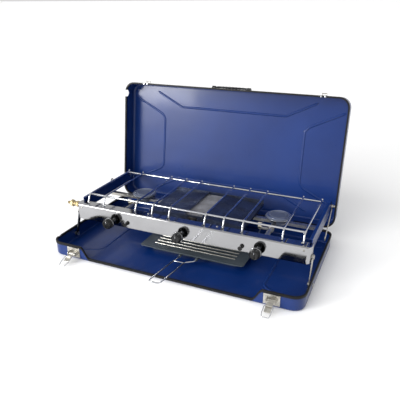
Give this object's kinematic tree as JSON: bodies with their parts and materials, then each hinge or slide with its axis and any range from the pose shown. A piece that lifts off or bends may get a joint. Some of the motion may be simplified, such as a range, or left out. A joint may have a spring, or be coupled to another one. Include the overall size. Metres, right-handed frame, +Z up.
{
  "type": "folding camp grill",
  "caption": "Folding gas camp stove and grill in a pressed steel case: lid, wire pan support, burners, front controls, latches and a grill pan.",
  "frame": {"origin": "middle of the tray under its flat base, on the surface that it stands on", "axes": "+X to the right along the hinge, +Y to the back where the lid is hinged, +Z up"},
  "size_m": [0.6278, 0.4621, 0.3544],
  "materials": {
    "case_blue": "gloss blue paint on pressed steel",
    "edge_trim": "matt black edge trim",
    "stainless": "polished stainless steel, nearly a mirror",
    "zinc": "bright zinc plate",
    "chrome_wire": "chromed wire",
    "brass": "turned brass",
    "burner_alloy": "cast aluminium with machined rims",
    "black_plastic": "black moulded plastic",
    "grill_steel": "dark heat-stained steel",
    "mesh": "woven steel mesh",
    "enamel": "dark grey-green enamel",
    "electrode": "cream ceramic and its painted bracket"
  },
  "bodies": {
    "tray": {"tray": "case_blue", "tray_trim": "edge_trim", "tray_hinge_leaves": "zinc", "hinge_pins": "zinc", "latch_plate_left": "zinc", "latch_plate_right": "zinc", "latch_pins": "zinc", "leg_pins": "zinc"},
    "lid": {"lid": "case_blue", "lid_trim": "edge_trim", "lid_hinge_leaves": "zinc", "keeper_left": "zinc", "keeper_right": "zinc", "handle_brackets": "black_plastic", "arm_pivots": "zinc"},
    "carry_handle": {"carry_handle": "black_plastic"},
    "stay_left": {"stay_left": "zinc"},
    "stay_right": {"stay_right": "zinc"},
    "leg_left": {"leg_left": "zinc"},
    "leg_right": {"leg_right": "zinc"},
    "stove": {"arm_left": "case_blue", "arm_right": "case_blue", "body_pins": "zinc", "front_panel": "stainless", "cross_rail": "zinc", "burner_base_left": "burner_alloy", "burner_base_right": "burner_alloy", "burner_head_left": "burner_alloy", "burner_head_right": "burner_alloy", "burner_cap_left": "burner_alloy", "burner_cap_right": "burner_alloy", "mixing_tube_left": "zinc", "mixing_tube_middle": "zinc", "mixing_tube_right": "zinc", "gas_manifold": "zinc", "gas_valves": "brass", "igniter_bodies": "black_plastic", "electrodes": "electrode", "gas_inlet": "brass", "pan_support": "chrome_wire", "grill_housing": "grill_steel", "grill_mesh": "mesh", "grill_burner": "grill_steel"},
    "knob_left": {"knob_left": "black_plastic", "spindle_left": "chrome_wire"},
    "knob_middle": {"knob_middle": "black_plastic", "spindle_middle": "chrome_wire"},
    "knob_right": {"knob_right": "black_plastic", "spindle_right": "chrome_wire"},
    "igniter_button_left": {"igniter_button_left": "black_plastic"},
    "igniter_button_right": {"igniter_button_right": "black_plastic"},
    "latch_lever_left": {"latch_lever_left": "zinc"},
    "latch_lever_right": {"latch_lever_right": "zinc"},
    "latch_bail_left": {"latch_bail_left": "chrome_wire"},
    "latch_bail_right": {"latch_bail_right": "chrome_wire"},
    "grill_pan": {"grill_pan": "enamel"},
    "pan_handle": {"pan_handle": "chrome_wire"}
  },
  "joints": [
    {"name": "lid_fold", "type": "hinge", "parent": "tray", "child": "lid", "pos_m": [0, 0.161, 0.035], "axis": [1, 0, 0], "range_deg": [0, 98.2]},
    {"name": "stove_fold", "type": "hinge", "parent": "lid", "child": "stove", "pos_m": [0, 0.17832, 0.0907], "axis": [1, 0, 0], "range_deg": [-98.2, 0]},
    {"name": "leg_left_fold", "type": "hinge", "parent": "tray", "child": "leg_left", "pos_m": [-0.2925, -0.071, 0.015], "axis": [1, 0, 0], "range_deg": [0, 98.2]},
    {"name": "leg_right_fold", "type": "hinge", "parent": "tray", "child": "leg_right", "pos_m": [0.2925, -0.071, 0.015], "axis": [1, 0, 0], "range_deg": [0, 98.2]},
    {"name": "stay_left_swing", "type": "hinge", "parent": "lid", "child": "stay_left", "pos_m": [-0.29, 0.17832, 0.0907], "axis": [1, 0, 0], "range_deg": [-90.75, 0]},
    {"name": "stay_right_swing", "type": "hinge", "parent": "lid", "child": "stay_right", "pos_m": [0.29, 0.17832, 0.0907], "axis": [1, 0, 0], "range_deg": [-138.75, 0]},
    {"name": "carry_handle_lift", "type": "hinge", "parent": "lid", "child": "carry_handle", "pos_m": [0.005, 0.2207, 0.35112], "axis": [1, 0, 0], "range_deg": [0, 90]},
    {"name": "knob_left_turn", "type": "hinge", "parent": "stove", "child": "knob_left", "pos_m": [-0.1865, -0.079, 0.0685], "axis": [0, -1, 0], "range_deg": [0, 210]},
    {"name": "knob_middle_turn", "type": "hinge", "parent": "stove", "child": "knob_middle", "pos_m": [-0.004, -0.079, 0.0685], "axis": [0, -1, 0], "range_deg": [0, 210]},
    {"name": "knob_right_turn", "type": "hinge", "parent": "stove", "child": "knob_right", "pos_m": [0.1785, -0.079, 0.0685], "axis": [0, -1, 0], "range_deg": [0, 210]},
    {"name": "igniter_left_press", "type": "slide", "parent": "stove", "child": "igniter_button_left", "axis": [0, 1, 0], "range_m": [0, 0.003], "stiffness_N_per_m": 400},
    {"name": "igniter_right_press", "type": "slide", "parent": "stove", "child": "igniter_button_right", "axis": [0, 1, 0], "range_m": [0, 0.003], "stiffness_N_per_m": 400},
    {"name": "latch_left_lever", "type": "hinge", "parent": "tray", "child": "latch_lever_left", "pos_m": [-0.238, -0.1645, 0.0165], "axis": [1, 0, 0], "range_deg": [-110, 0]},
    {"name": "latch_left_bail", "type": "hinge", "parent": "latch_lever_left", "child": "latch_bail_left", "pos_m": [-0.238, -0.17663, 0.01474], "axis": [1, 0, 0], "range_deg": [0, 45]},
    {"name": "latch_right_lever", "type": "hinge", "parent": "tray", "child": "latch_lever_right", "pos_m": [0.238, -0.1645, 0.0165], "axis": [1, 0, 0], "range_deg": [-110, 0]},
    {"name": "latch_right_bail", "type": "hinge", "parent": "latch_lever_right", "child": "latch_bail_right", "pos_m": [0.238, -0.17663, 0.01474], "axis": [1, 0, 0], "range_deg": [0, 45]},
    {"name": "grill_pan_slide", "type": "slide", "parent": "tray", "child": "grill_pan", "axis": [0, -1, 0], "range_m": [-0.035, 0.045]},
    {"name": "pan_handle_draw", "type": "slide", "parent": "grill_pan", "child": "pan_handle", "axis": [0, -1, 0], "range_m": [0, 0.176]}
  ],
  "couplings": [
    {"joint": "stove_fold", "follows": "lid_fold", "ratio": -1},
    {"joint": "leg_left_fold", "follows": "lid_fold", "ratio": 1},
    {"joint": "leg_right_fold", "follows": "lid_fold", "ratio": 1},
    {"joint": "stay_left_swing", "follows": "lid_fold", "ratio": -0.92363},
    {"joint": "stay_right_swing", "follows": "lid_fold", "ratio": -1.4124},
    {"joint": "pan_handle_draw", "follows": "lid_fold", "m_per_rad": 0.10211}
  ]
}
